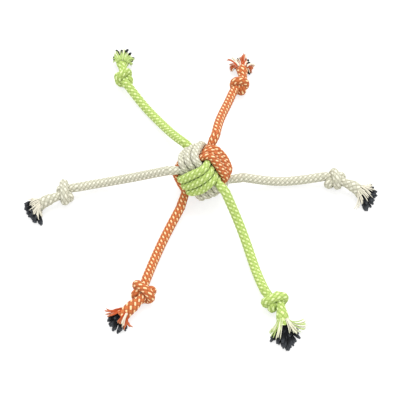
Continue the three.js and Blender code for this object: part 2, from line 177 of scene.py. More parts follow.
def skin(name, rings, turns, picks, material, **attributes):
    """A closed skin over each row of rings, an array of tubes by rings by points round: a quad between each
    two points of two rings, and a face over each end. The UV map counts turns round and picks along."""
    tubes, count, sides = rings.shape[:3]
    tube, ring, point = np.meshgrid(np.arange(tubes), np.arange(count - 1), np.arange(sides), indexing="ij")
    onward = (point + 1) % sides
    first = (tube * count + ring) * sides
    quads = np.stack([first + point, first + onward, first + sides + onward, first + sides + point], -1)
    starts = np.arange(tubes)[:, None] * count * sides
    caps = np.stack([starts + np.arange(sides)[::-1], starts + (count - 1) * sides + np.arange(sides)], 1)
    corners = np.concatenate([quads.ravel(), caps.ravel()]).astype(np.int32)
    face_starts = np.concatenate([np.arange(tube.size) * 4, tube.size * 4 + np.arange(2 * tubes) * sides])
    smooth = np.arange(len(face_starts)) < tube.size

    picks = np.broadcast_to(picks, (tubes, count))
    low, high = picks[:, :-1, None] + 0 * point, picks[:, 1:, None] + 0 * point
    left, right = point * turns / sides, (point + 1) * turns / sides
    quad_uv = np.stack([left, low, right, low, right, high, left, high], -1)
    cap_uv = np.zeros((tubes, 2, sides, 2))
    cap_uv[:, 0, :, 1] = picks[:, :1]
    cap_uv[:, 1, :, 1] = picks[:, -1:]

    mesh = bpy.data.meshes.new(name)
    mesh.vertices.add(tubes * count * sides)
    mesh.vertices.foreach_set("co", rings.astype(np.float32).ravel())
    mesh.loops.add(len(corners))
    mesh.loops.foreach_set("vertex_index", corners)
    mesh.polygons.add(len(face_starts))
    mesh.polygons.foreach_set("loop_start", face_starts.astype(np.int32))
    mesh.polygons.foreach_set("use_smooth", smooth)
    mesh.update(calc_edges=True)
    uv = np.concatenate([quad_uv.ravel(), cap_uv.ravel()]).astype(np.float32)
    mesh.uv_layers.new(name="yarns").data.foreach_set("uv", uv)
    for label, values in attributes.items():
        spread = np.broadcast_to(values[..., None], (tubes, count, sides)).astype(np.float32)
        mesh.attributes.new(label, "FLOAT", "POINT").data.foreach_set("value", spread.ravel())
    mesh.validate()
    mesh.materials.append(material)
    piece = bpy.data.objects.new(name, mesh)
    bpy.context.scene.collection.objects.link(piece)
    return piece


def add(tree, kind, inputs, **settings):
    """A shader node with its settings, and each input set to a value or joined to another's output."""
    node = tree.nodes.new("ShaderNode" + kind)
    for label, value in settings.items():
        setattr(node, label, value)
    for socket, value in inputs.items():
        if isinstance(value, bpy.types.NodeSocket):
            tree.links.new(value, node.inputs[socket])
        else:
            node.inputs[socket].default_value = value
    return node


def calc(tree, operation, *terms):
    """One sum on sockets or numbers."""
    return add(tree, "Math", dict(enumerate(terms)), operation=operation).outputs[0]


def ramp(tree, value, low, high, start=0.0, stop=1.0):
    """Start below low, stop above high, and a smooth step between."""
    inputs = {"Value": value, "From Min": low, "From Max": high, "To Min": start, "To Max": stop}
    return add(tree, "MapRange", inputs, interpolation_type="SMOOTHSTEP").outputs[0]


def mixed(tree, share, first, second):
    """First where the share is 0, second where it is 1."""
    node = add(tree, "Mix", {0: share, 6: first, 7: second}, data_type="RGBA")
    return node.outputs[2]


def with_crease_shade(tree, colour, deep):
    """The colour, with painted shade in the creases: a darker tone of the deep one where ropes or yarns
    touch and leave little open sky."""
    sky = add(tree, "AmbientOcclusion", {"Distance": CREASE_REACH}, samples=CREASE_RAYS).outputs["AO"]
    darkest = tuple(CREASE_SHADE_TONE * part for part in deep[:3]) + (1.0,)
    return mixed(tree, ramp(tree, sky, *CREASE_SKY, CREASE_SHADE_SHARE, 0.0), colour, darkest)


def linear(red, green, blue):
    """A colour given in 0 to 255, as it looks on a screen, as the light that it stands for."""
    share = np.array([red, green, blue]) / 255
    light = np.where(share <= 0.04045, share / 12.92, ((share + 0.055) / 1.055) ** 2.4)
    return (*light.tolist(), 1.0)


COVER_COLOURS = {              # yarn, pale ply, and the deep colour: painted shade at dives, between plies and in creases, and darker patches
    "green": (linear(194, 218, 124), linear(228, 244, 176), linear(140, 163, 76)),
    "orange": (linear(216, 122, 70), linear(254, 228, 178), linear(146, 72, 36)),
    "beige": (linear(216, 215, 194), linear(240, 238, 220), linear(158, 153, 132)),
}


def braided_cotton(colour):
    """The cover's finish. The same counts as in crossing pick the yarn on top. The pale ply is a slot in
    the middle of the first hand's yarns, the plies and fibres are relief, and the deep colour paints shade
    where yarns dive, between the plies and in the creases, and tints random patches."""
    yarn, pale, deep = COVER_COLOURS[colour]
    material = bpy.data.materials.new(f"{colour}_braided_cotton")
    material.use_nodes = True
    tree = material.node_tree
    shader = tree.nodes["Principled BSDF"]
    counts = add(tree, "SeparateXYZ", {0: add(tree, "UVMap", {}, uv_map="yarns").outputs[0]}).outputs
    first = calc(tree, "ADD", counts[0], counts[1])
    second = calc(tree, "SUBTRACT", counts[0], counts[1])
    whole = calc(tree, "ADD", calc(tree, "FLOOR", first), calc(tree, "FLOOR", second))
    second_over = calc(tree, "MULTIPLY", calc(tree, "FRACT", calc(tree, "MULTIPLY", whole, 0.5)), 2)
    first_part = calc(tree, "SUBTRACT", calc(tree, "FRACT", first), 0.5)
    second_part = calc(tree, "SUBTRACT", calc(tree, "FRACT", second), 0.5)
    swap = calc(tree, "MULTIPLY", second_over, calc(tree, "SUBTRACT", second_part, first_part))
    across = calc(tree, "ABSOLUTE", calc(tree, "ADD", first_part, swap))
    along = calc(tree, "ABSOLUTE", calc(tree, "SUBTRACT", second_part, swap))

    shape = add(tree, "TexCoord", {}).outputs["Object"]
    fibre = add(tree, "TexNoise", {"Vector": shape, "Scale": COTTON_FIBRES, "Detail": 3}).outputs[0]
    patch = add(tree, "TexNoise", {"Vector": shape, "Scale": COTTON_PATCHES, "Detail": 2}).outputs[0]
    plies = calc(tree, "ABSOLUTE", calc(tree, "COSINE", calc(tree, "MULTIPLY", across, 3 * pi)))
    wander = calc(tree, "MULTIPLY", calc(tree, "SUBTRACT", fibre, 0.5), PALE_WANDER)
    in_width = ramp(tree, calc(tree, "ADD", across, wander), *PALE_SIDE_FADE, 1.0, 0.0)
    in_length = ramp(tree, along, *PALE_END_FADE, 1.0, 0.0)
    first_over = calc(tree, "SUBTRACT", 1.0, second_over)
    slot = calc(tree, "MULTIPLY", first_over, calc(tree, "MULTIPLY", in_width, in_length))

    # Painted shade where a yarn dives, and below, between its plies; the patches are random tone
    edge = calc(tree, "MAXIMUM", across, calc(tree, "MULTIPLY", along, 0.98))
    dive = ramp(tree, edge, DIVE_FROM, 0.5)
    tone = ramp(tree, patch, *NOISE_RANGE, 0.0, PATCH_SHARE)
    ground = mixed(tree, calc(tree, "MAXIMUM", tone, calc(tree, "MULTIPLY", dive, DIVE_SHARE)), yarn, deep)
    shade = calc(tree, "MULTIPLY", calc(tree, "SUBTRACT", 1.0, plies), PLY_SHARE)
    ground = mixed(tree, shade, ground, deep)
    flecked = mixed(tree, slot, ground, pale)
    # the base colour, with painted shade in the creases
    tree.links.new(with_crease_shade(tree, flecked, deep), shader.inputs["Base Color"])

    height = calc(tree, "ADD", calc(tree, "MULTIPLY", plies, 0.6), calc(tree, "MULTIPLY", fibre, 0.8))
    bump = add(tree, "Bump", {"Strength": 0.55, "Distance": COTTON_BUMP, "Height": height})
    tree.links.new(bump.outputs[0], shader.inputs["Normal"])
    rough = ramp(tree, fibre, *NOISE_RANGE, *COTTON_ROUGHNESS)
    tree.links.new(rough, shader.inputs["Roughness"])
    shader.inputs["Specular IOR Level"].default_value = COTTON_SHINE
    shader.inputs["Sheen Weight"].default_value = COTTON_SHEEN
    return material


cover_finish = {colour: braided_cotton(colour) for colour in COVER_COLOURS}

# The ball's windings
# The three ropes are wound square to each other round a core. Each goes round three and a half times, wide
# and round over two faces, and squeezed where it tucks through under the next rope's face.
STRAND_R = 0.0053
FULL_R = 0.0057                # on the faces with three turns
TUCK_R = 0.0040
STRAND_PITCH = 0.0103
TUCK_PITCH = 0.0084
TUCK_REACH = 0.0204            # centre lines from the ball's middle
FACE_REACH = 0.0296
EDGE_BEND = 0.007
EXIT_RUN = 0.013
UNDER_EXIT_BEND = 0.0107
OVER_EXIT_BEND = 0.014
OVER_EXIT_RUN = 0.005          # past the middle of its face
EXIT_SWELL = (0, 0, 0, 0.25, 0.5)        # of the way to the free rope's radius, along the bend
STACK_ROWS = (-1.5, -0.5, 0.5, 1.5)      # in pitches, as are the next two
FACE_ROWS = (-1.14, -0.04, 1.06)
RETURN_ROWS = (-0.86, 0, 0.86)
UNDER_WAY_OUT = unit(np.array([0.5, 0.35, -0.79]))
OVER_WAY_OUT = unit(np.array([-0.42, -0.5, 0.76]))
OVER_RUN_WAY = unit(np.array([0, -1, 0.12]))
ROUND_FROM = 0.030             # reach beyond which the corners are pulled in
ROUND_MOST = 0.036             # where they are pulled in most
ROUND_OUT = 0.044              # and where no more
ROUND_PULL = 0.003
BALL_TURN = radians(-95)
BALL_TILT = radians(11)


def quarter_turn(face, tuck):
    """From the middle of a tuck, over one edge, to the middle of a face, in the plane of the turn: a
    straight run, a quarter circle and a straight run. Face and tuck are 1 or -1, the side of each."""
    edge = np.array([FACE_REACH - EDGE_BEND, TUCK_REACH - EDGE_BEND])
    angle = np.linspace(0, pi / 2, 5)
    arc = edge + EDGE_BEND * np.column_stack([np.sin(angle), np.cos(angle)])
    return np.vstack([[0, TUCK_REACH], [edge[0] / 2, TUCK_REACH], arc, [FACE_REACH, 0]]) * (face, tuck)


def laid(run, from_row, to_row, from_r, to_r):
    """The run lifted from its plane: row and radius ease from one value to the other along it."""
    along = np.concatenate([[0], np.cumsum(np.linalg.norm(np.diff(run, axis=0), axis=1))])
    share = along / along[-1]
    ease = (share ** 2 * (3 - 2 * share))[:, None]
    return np.hstack([run, from_row + (to_row - from_row) * ease, from_r + (to_r - from_r) * ease])


def way_round(start, heading, way_out, bend, start_r):
    """An arc from the heading to the way out, on which the rope swells to its free size, then one rope's
    width straight on."""
    swing = np.arccos(heading @ way_out)
    inward = unit(way_out - heading * (heading @ way_out))
    angle = np.linspace(0, swing, len(EXIT_SWELL))[:, None]
    arc = start + heading * bend * np.sin(angle) + inward * bend * (1 - np.cos(angle))
    radii = start_r + (ROPE_R - start_r) * np.array(EXIT_SWELL)
    straight = arc[-1] + way_out * np.array([[ROPE_R], [2 * ROPE_R]])
    return np.vstack([np.column_stack([arc, radii]), np.column_stack([straight, [ROPE_R, ROPE_R]])])


def winding_points():
    """The green rope's points and radii in the ball's own axes, from the exit under the next rope to the
    exit over it. Points that reach far from the middle are drawn in towards it, as pulling the ball tight
    rounds its corners."""
    runs = []
    for turn, row in enumerate(STACK_ROWS):
        stack, face = row * TUCK_PITCH, row * STRAND_PITCH
        runs.append(laid(quarter_turn(-1, 1), stack, face, TUCK_R, STRAND_R))
        if turn < len(FACE_ROWS):
            back, front = RETURN_ROWS[turn] * STRAND_PITCH, FACE_ROWS[turn] * STRAND_PITCH
            runs.append(laid(quarter_turn(-1, -1)[::-1], face, back, STRAND_R, TUCK_R))
            runs.append(laid(quarter_turn(1, -1), back, front, TUCK_R, FULL_R))
            onto = STACK_ROWS[turn + 1] * TUCK_PITCH
            runs.append(laid(quarter_turn(1, 1)[::-1], front, onto, FULL_R, TUCK_R))
    wound = np.vstack([runs[0]] + [run[1:] for run in runs[1:]])
    first_row = STACK_ROWS[0] * TUCK_PITCH
    under = way_round(np.array([EXIT_RUN, TUCK_REACH, first_row]), np.array([1.0, 0, 0]), UNDER_WAY_OUT,
                      UNDER_EXIT_BEND, TUCK_R)
    under = np.vstack([[EXIT_RUN / 2, TUCK_REACH, first_row, TUCK_R], under])
    over = way_round(wound[-1, :3] + OVER_RUN_WAY * OVER_EXIT_RUN, OVER_RUN_WAY, OVER_WAY_OUT,
                     OVER_EXIT_BEND, STRAND_R)
    points = np.vstack([under[::-1], wound, over])
    reach = np.linalg.norm(points[:, :3], axis=1, keepdims=True)
    rounded = np.interp(reach, [0, ROUND_FROM, ROUND_MOST, ROUND_OUT, 1],
                        [0, ROUND_FROM, ROUND_MOST - ROUND_PULL, ROUND_OUT, 1])
    points[:, :3] *= rounded / reach
    return points


# The ball stands on the corner that has no leg, and leans a little to the front
upright = Vector((1, 1, 1)).rotation_difference(Vector((0, 0, 1)))
ball_pose = Quaternion((1, 0, 0), BALL_TILT) @ Quaternion((0, 0, 1), BALL_TURN) @ upright
ball_axes = np.array(ball_pose.to_matrix())
wound_points = winding_points()
windings = {}
for colour, axes in (("green", [0, 1, 2]), ("orange", [2, 0, 1]), ("beige", [1, 2, 0])):
    stood = wound_points[:, axes] @ ball_axes.T + ball_centre
    windings[colour] = np.column_stack([stood, wound_points[:, 3]])

# The legs' ways
# Six rope ends leave the ball and run out over the floor, each into an overhand knot and a short tail.
# The points are metres from the ball's middle, with their height from the floor. A knot has its middle,
# its heading, its hand, its size along, across and up, and how far the rope bends as it goes in and out and
# along the tail. The pull is how far the braid is drawn out on the free stretch.
KNOT_ENDS_SIZE = (0.0073, 0.0080, 0.0080)    # where the rope goes in and out
KNOT_R = 0.0056                # of the rope inside a knot
KNOT_NECK_R = 0.0057
KNOT_HEIGHT = 0.0141           # its middle from the floor
CUT_GAP = 0.0003               # between the solids' pieces, which have the same routes
TAIL_DROP = 0.25               # of the tail's length
TAIL_OVERRUN = 0.003           # straight on at its end
EASE_ENDS = 0.009              # at each end of a leg, over which its bends are evened out less and less
EASE_ROUNDS = 3000
KNOT_SHARES = [
    (-2.1, 0.54, 0.04), (-1.55, 0.54, 0.04), (-0.9, 0.56, 0.07), (-0.2, 0.56, 0.07), (0.35, 0.6, 0.06),
    (0.85, 0.74, 0.02), (1.24, 0.87, -0.2), (1.42, 0.9, -0.62), (1.28, 0.74, -1.04), (0.92, 0.36, -1.3),
    (0.64, -0.28, -1.35), (0.46, -0.98, -1.12), (0.3, -1.56, -0.54), (0.2, -1.72, 0.15),
    (0.12, -1.32, 0.86), (0.05, -0.65, 1.15), (0, 0, 1.2),
]
LEGS = [
    dict(name="green_back_left", over=True, knot=(-0.106, 0.166), heading=126, hand=1, bends=(-6, 24, -14),
         size=(0.0050, 0.0048, 0.0068), tail=0.007, pull=1,
         route=[(-0.0325, 0.0585, 0.022), (-0.0445, 0.0785, 0.0135), (-0.0605, 0.102, 0.0065),
                (-0.081, 0.1265, 0.005)]),
    dict(name="green_front_right", over=False, knot=(0.086, -0.170), heading=-70, hand=-1,
         bends=(12, -12, -4), size=(0.0045, 0.0068, 0.0064), tail=0.014, pull=1,
         route=[(0.035, -0.0495, 0.036), (0.0435, -0.0635, 0.023), (0.0525, -0.0825, 0.0115),
                (0.06, -0.109, 0.006), (0.066, -0.1315, 0.006)]),
    dict(name="orange_front_left", over=True, knot=(-0.071, -0.158), heading=-127, hand=-1,
         bends=(20, -8, -8), size=(0.0061, 0.0068, 0.0074), tail=0.021, pull=1,
         route=[(-0.0365, -0.0545, 0.0085), (-0.0465, -0.075, 0.005), (-0.0575, -0.104, 0.005)]),
    dict(name="orange_back", over=False, knot=(0.0495, 0.1535), heading=84, hand=1, bends=(20, -8, 0),
         size=(0.0048, 0.0046, 0.0068), tail=0.014, pull=1.4,
         route=[(0.017, 0.055, 0.0545), (0.022, 0.0735, 0.045), (0.0285, 0.098, 0.033),
                (0.0355, 0.12, 0.022)]),
    dict(name="beige_right", over=True, knot=(0.1685, 0.003), heading=5, hand=1, bends=(0, 28, -14),
         size=(0.0066, 0.0050, 0.0066), tail=0.018, pull=1,
         route=[(0.0685, 0.0005, 0.0145), (0.0885, 0.002, 0.0085), (0.1115, 0.0035, 0.005)]),
    dict(name="beige_left", over=False, knot=(-0.174, -0.017), heading=-170, hand=-1, bends=(0, 12, 4),
         size=(0.0036, 0.0070, 0.0070), tail=0.019, pull=1,
         route=[(-0.057, -0.007, 0.044), (-0.0745, -0.005, 0.034), (-0.094, -0.002, 0.0225),
                (-0.115, 0.001, 0.012), (-0.1385, 0, 0.0065)]),
]


def heading_of(degrees):
    """The level direction at this angle from +X, to the left."""
    return np.array([cos(radians(degrees)), sin(radians(degrees)), 0])


def turned(points, pivot, degrees):
    """The points turned about an upright line through the pivot."""
    c, s = cos(radians(degrees)), sin(radians(degrees))
    return (points - pivot) @ np.array([[c, s, 0], [-s, c, 0], [0, 0, 1]]) + pivot


def knot_points(leg):
    """The knot's points: half of it as listed, then the same half turned about the upright. Its two ends
    have a size of their own and swing in the flat, and the hand mirrors it."""
    half = np.array(KNOT_SHARES, float)
    shares = np.vstack([half, half[-2::-1] * (-1, -1, 1)])
    shares[:2] = turned(shares[:2], shares[2], -leg["bends"][0])
    shares[-2:] = turned(shares[-2:], shares[-3], -leg["bends"][1])
    along = heading_of(leg["heading"])
    across = np.cross(UP, along) * leg["hand"]
    middle = np.array([*leg["knot"], KNOT_HEIGHT])
    sizes = np.tile(leg["size"], (len(shares), 1))
    sizes[[0, 1, -2, -1]] = KNOT_ENDS_SIZE
    return middle + sizes * shares @ np.array([along, across, UP])


def leg_points(leg, exit_place, way_out):
    """A leg's points and radii from the ball outwards, and which of them start the knot and the tail."""
    knot = knot_points(leg)
    turn_in, turn_out, tail_turn = leg["bends"]
    inward = heading_of(leg["heading"] - leg["hand"] * turn_in)
    outward = heading_of(leg["heading"] - leg["hand"] * turn_out)
    tail_way = heading_of(leg["heading"] - leg["hand"] * turn_out + tail_turn)
    start = knot[-1] + outward * CUT_GAP
    middle = start + outward * leg["tail"] / 2
    end = middle + (tail_way / 2 - UP * TAIL_DROP) * leg["tail"]
    ball_foot = ball_centre * (1, 1, 0)
    lead = [exit_place + way_out * (ROPE_R + CUT_GAP) - ball_foot, *leg["route"],
            knot[0] - inward * (ROPE_R + CUT_GAP)]
    tail = [start / 4 + middle / 2 + end / 4, end, end + unit(end - middle) * TAIL_OVERRUN]
    points = np.vstack([lead, knot, tail]) + ball_foot
    squeezed = np.full(len(knot), KNOT_R)
    squeezed[[0, 1, -2, -1]] = ROPE_R, KNOT_NECK_R, KNOT_NECK_R, ROPE_R
    radii = np.concatenate([np.full(len(lead), ROPE_R), squeezed, np.full(len(tail), ROPE_R)])
    return np.column_stack([points, radii]), len(lead), len(lead) + len(knot) - 1


def eased(places, run, start, stop):
    """The rope's own stiffness evens out its bends on a free stretch: each place there is drawn halfway to
    the middle of its two neighbours, again and again, and less near the ends of the stretch."""
    share = np.clip(np.minimum(run - start, stop - run) / EASE_ENDS, 0, 1)[1:-1, None]
    freedom = share ** 2 * (3 - 2 * share) / 2
    for _ in range(EASE_ROUNDS):
        places[1:-1] += freedom * ((places[:-2] + places[2:]) / 2 - places[1:-1])
    return places


def whole_rope(colour, under, over):
    """One rope from frayed end to frayed end, as rings: places, directions, radius, distance and picks
    along. Each of its two legs keeps where its exit, knot, tail and end lie, and which way along the rope
    is outwards."""
    wound = windings[colour]
    ways_out = unit(wound[[0, -1], :3] - wound[[1, -2], :3])
    under_points, under_knot, under_tail = leg_points(under, wound[0, :3], ways_out[0])
    over_points, over_knot, over_tail = leg_points(over, wound[-1, :3], ways_out[1])
    points = np.vstack([under_points[::-1], wound, over_points])
    first = len(under_points)              # of the winding's points, and the last of them
    last = first + len(wound) - 1
    places, step, stations = smooth_way(points[:, :3])
    run = np.arange(len(places)) * step
    pick = np.full(len(places), PICK[colour])
    legs = []
    for leg, sign, marks in (
            (under, -1, [first, first - 1 - under_knot, first - 1 - under_tail, 0]),
            (over, 1, [last, last + 1 + over_knot, last + 1 + over_tail, len(points) - 1])):
        exit_run, knot_run, tail_run, end_run = stations[marks]
        start, stop = sorted((exit_run, knot_run))
        places = eased(places, run, start, stop)
        pick[(run > start) & (run < stop)] *= leg["pull"]
        legs.append(SimpleNamespace(name=leg["name"], sign=sign, exit=exit_run,
                                    knot=abs(knot_run - exit_run), tail=abs(tail_run - exit_run),
                                    end=abs(end_run - exit_run)))
    ways = unit(np.gradient(places, axis=0))
    sides = carried_sides(ways)
    rope = SimpleNamespace(colour=colour, places=places, ways=ways, sides=sides,
                           others=np.cross(ways, sides), run=run, picks=np.cumsum(step / pick),
                           radii=np.interp(run, stations, points[:, 3]), step=step,
                           exits=(stations[first], stations[last]))
    for leg in legs:
        leg.rope = rope
    return rope, legs


def rings_between(rope, start, stop):
    """The rings from one distance along the rope to another, both ends included."""
    first, last = sorted(int(round(distance / rope.step)) for distance in (start, stop))
    return np.arange(first, last + 1)


def leg_rings(leg, start, stop):
    """The rings of a leg between two distances from its exit."""
    return rings_between(leg.rope, leg.exit + leg.sign * start, leg.exit + leg.sign * stop)


ropes, legs = [], []
for colour in COVER_COLOURS:
    pair = [leg for leg in LEGS if leg["name"].startswith(colour)]
    rope, its_legs = whole_rope(colour, *sorted(pair, key=lambda leg: leg["over"]))
    ropes.append(rope)
    legs += its_legs

# The legs' ropes
# The free rope of each leg, from the ball to its knot, in two pieces: the first stretch at the ball, and
# the rest, a cord of its own, that runs on to where the leg curls up from the floor into its knot.
ROOT_LENGTH = 0.02615
PATH_EVERY = 4                 # rings


def cover_piece(name, rope, rings):
    """A closed stretch of braided rope."""
    return skin(name, cover_rings(rope, rings)[None], YARNS, rope.picks[rings], cover_finish[rope.colour])


for leg in legs:
    rope = leg.rope
    rings = leg_rings(leg, 0, ROOT_LENGTH)
    root = cover_piece(f"{leg.name}_rope_root", rope, rings)
    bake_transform(root)
    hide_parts(f"{leg.name}_root")

    rings = leg_rings(leg, ROOT_LENGTH, leg.knot)
    leg.cord = cover_piece(f"{leg.name}_rope", rope, rings)
    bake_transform(leg.cord)
    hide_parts(*(f"{leg.name}_{part}" for part in ("inner_stretch", "bend", "outer_stretch")))
    leg.path = rope.places[rings[::leg.sign]][::PATH_EVERY]
    leg.cord_length = float(np.linalg.norm(np.diff(rope.places[rings], axis=0), axis=1).sum())

# The knots
# An overhand knot pulled tight by hand: the rope goes round, back underneath and through its own ring. It
# is squeezed thinner where it crosses itself.
for leg in legs:
    rings = leg_rings(leg, leg.knot, leg.tail)
    leg.knot_piece = cover_piece(f"{leg.name}_overhand_knot", leg.rope, rings)
    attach(leg.knot_piece, f"{leg.name}_outer")
    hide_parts(f"{leg.name}_knot")

# The tails
# Past its knot the rope ends after a finger's width or two, cut square. The braid is looser there, and so
# thicker. Its cover is an open sleeve that flares round the core yarns.
SWELL = 0.0015                 # of the loosened braid
SWELL_LENGTH = 0.006           # past the knot, over which it swells
FLARE = 0.0014                 # more at the cut
FLARE_LENGTH = 0.008           # before the cut, over which it flares
MOUTH_DEPTH = 0.006
SLEEVE_WALL = 0.0017


def looseness(leg, rings):
    """How far the loosened braid stands off at these rings of the tail."""
    past_knot = abs(leg.rope.run[rings] - leg.exit)[:, None] - leg.tail
    to_end = leg.end - leg.tail - past_knot
    return (SWELL * np.clip(past_knot / SWELL_LENGTH, 0, 1)
            + FLARE * np.clip(1 - to_end / FLARE_LENGTH, 0, 1) ** 2)


for leg in legs:
    rope = leg.rope
    outside = leg_rings(leg, leg.tail, leg.end)
    inside = leg_rings(leg, leg.end - MOUTH_DEPTH, leg.end)[::-1]
    wall = [cover_rings(rope, outside, looseness(leg, outside)),
            cover_rings(rope, inside, looseness(leg, inside) - SLEEVE_WALL, 0)]
    picks = [rope.picks[outside], rope.picks[inside]]
    if leg.sign < 0:
        wall.reverse()
        picks.reverse()
    leg.tail_piece = skin(f"{leg.name}_tail", np.concatenate(wall)[None], YARNS, np.concatenate(picks),
                          cover_finish[rope.colour])
    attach(leg.tail_piece, f"{leg.name}_outer")
    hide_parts(f"{leg.name}_tail_cover")

# The frayed ends
# Past the cut the braid has come undone. The cover's plies stand out in locks, some of them pale, and the
# black core yarns spill out between them, grey at the tips, partly from wear and partly as a painted
# highlight.
# A lock is how far it turns from the tail's way, in degrees, to the left if positive, its reach in
# millimetres, how high in the mouth it starts, its number of strands, and for the cover the share of pale
# ones.
COVER_LOCKS = {
    "green_back_left": [
        (66, 13, 0.7, 5, 0.1), (52, 17, 0.8, 5, 0.2), (40, 20, 0.9, 5, 0.2), (26, 22, 0.9, 5, 0.2),
        (11, 23, 1.0, 5, 0.2), (-2, 23, 1.0, 5, 0.2), (-13, 22, 1.0, 5, 0.2), (-26, 20, 0.9, 5, 0.2),
        (-42, 18, 0.9, 5, 0.2), (-58, 17, 0.8, 5, 0.2), (-72, 14, 0.7, 5, 0.1), (-90, 12, 0.6, 5, 0.1),
        (28, 14, 1.2, 5, 0.1), (0, 16, 1.3, 5, 0.1), (-30, 14, 1.2, 5, 0.1)],
    "orange_back": [
        (72, 18, 0.7, 6, 0.2), (86, 16, 0.6, 6, 0.2), (98, 15, 0.5, 5, 0.2), (50, 25, 0.8, 4, 0.2),
        (42, 22, 0.9, 3, 0.5), (34, 25, 0.9, 2, 0.4), (20, 16, 1.0, 4, 0.2), (7, 18, 1.0, 5, 0.2),
        (-6, 23, 0.9, 5, 0.2), (-14, 24, 0.9, 5, 0.3), (-23, 24, 0.9, 3, 0.6), (-40, 14, 1.0, 4, 0.2),
        (-68, 19, 0.7, 6, 0.2), (-78, 18, 0.7, 6, 0.2), (-92, 15, 0.5, 5, 0.2), (-116, 14, 0.4, 5, 0.2),
        (-30, 17, 1.0, 2, 0.8)],
    "orange_front_left": [
        (-57, 24, 0.7, 4, 0.1), (-50, 21, 0.6, 5, 0.1), (-38, 17, 0.9, 5, 0.1), (-66, 13, 0.9, 4, 0.1),
        (92, 19, 0.5, 3, 0.1), (98, 13, 0.6, 4, 0.1), (78, 14, 0.7, 4, 0.1), (66, 18, 0.7, 3, 0.1),
        (44, 13, 1.2, 2, 0.1), (27, 12, 1.3, 3, 0.1), (58, 15, 1.4, 6, 1.0)],
    "beige_left": [
        (-66, 15, 1.0, 3, 0.9), (-54, 12, 1.2, 3, 0.9), (-44, 10, 1.3, 2, 0.9), (-30, 9, 1.4, 2, 0.9),
        (-16, 9, 1.4, 2, 0.9), (-2, 8, 1.4, 2, 0.9), (12, 8, 1.4, 2, 0.9), (26, 9, 1.4, 2, 0.9),
        (38, 10, 1.3, 2, 0.9), (48, 12, 1.2, 2, 0.9), (58, 14, 1.1, 2, 0.9), (68, 16, 1.0, 2, 0.9),
        (78, 20, 0.8, 2, 0.8), (92, 18, 0.8, 3, 0.5), (100, 12, 0.8, 4, 0.5), (-84, 13, 0.9, 3, 0.6),
        (-37, 14, 1.0, 1, 1.0), (-13, 14, 1.0, 1, 1.0), (15, 14, 1.1, 1, 1.0), (46, 17, 0.9, 1, 1.0)],
    "beige_right": [
        (58, 15, 1.2, 3, 1.0), (52, 17, 1.1, 2, 1.0), (20, 12, 1.3, 3, 1.0), (34, 13, 1.2, 2, 1.0),
        (-81, 25, 0.3, 2, 1.0), (-74, 23, 0.3, 1, 1.0), (-66, 20, 0.5, 2, 1.0), (-58, 16, 0.7, 3, 0.8),
        (-46, 13, 1.0, 3, 0.8), (102, 23, 0.6, 2, 0.6), (92, 22, 0.6, 2, 0.6), (86, 24, 0.7, 2, 0.6),
        (80, 17, 0.9, 4, 0.6), (70, 12, 1.1, 4, 0.6), (-10, 12, 1.2, 4, 0.8), (43, 17, 1.0, 1, 1.0),
        (8, 16, 1.1, 1, 1.0), (-24, 17, 1.0, 1, 1.0)],
    "green_front_right": [
        (100, 31, 0.7, 5, 0.3), (91, 29, 0.8, 5, 0.3), (84, 27, 0.6, 5, 0.3), (73, 27, 0.7, 5, 0.3),
        (62, 22, 0.8, 4, 0.4), (53, 22, 1.2, 2, 1.0), (49, 20, 1.3, 2, 1.0), (57, 19, 1.2, 2, 1.0),
        (44, 17, 1.3, 2, 1.0), (38, 14, 1.3, 2, 1.0), (-69, 18, 0.8, 5, 0.3), (-63, 21, 0.7, 4, 0.4),
        (-54, 19, 0.8, 4, 0.3), (-44, 20, 0.7, 4, 0.3), (-34, 15, 0.9, 4, 0.3), (-23, 21, 1.2, 5, 1.0),
        (-26, 12, 1.3, 4, 0.1), (-40, 13, 1.2, 4, 0.1)],
}
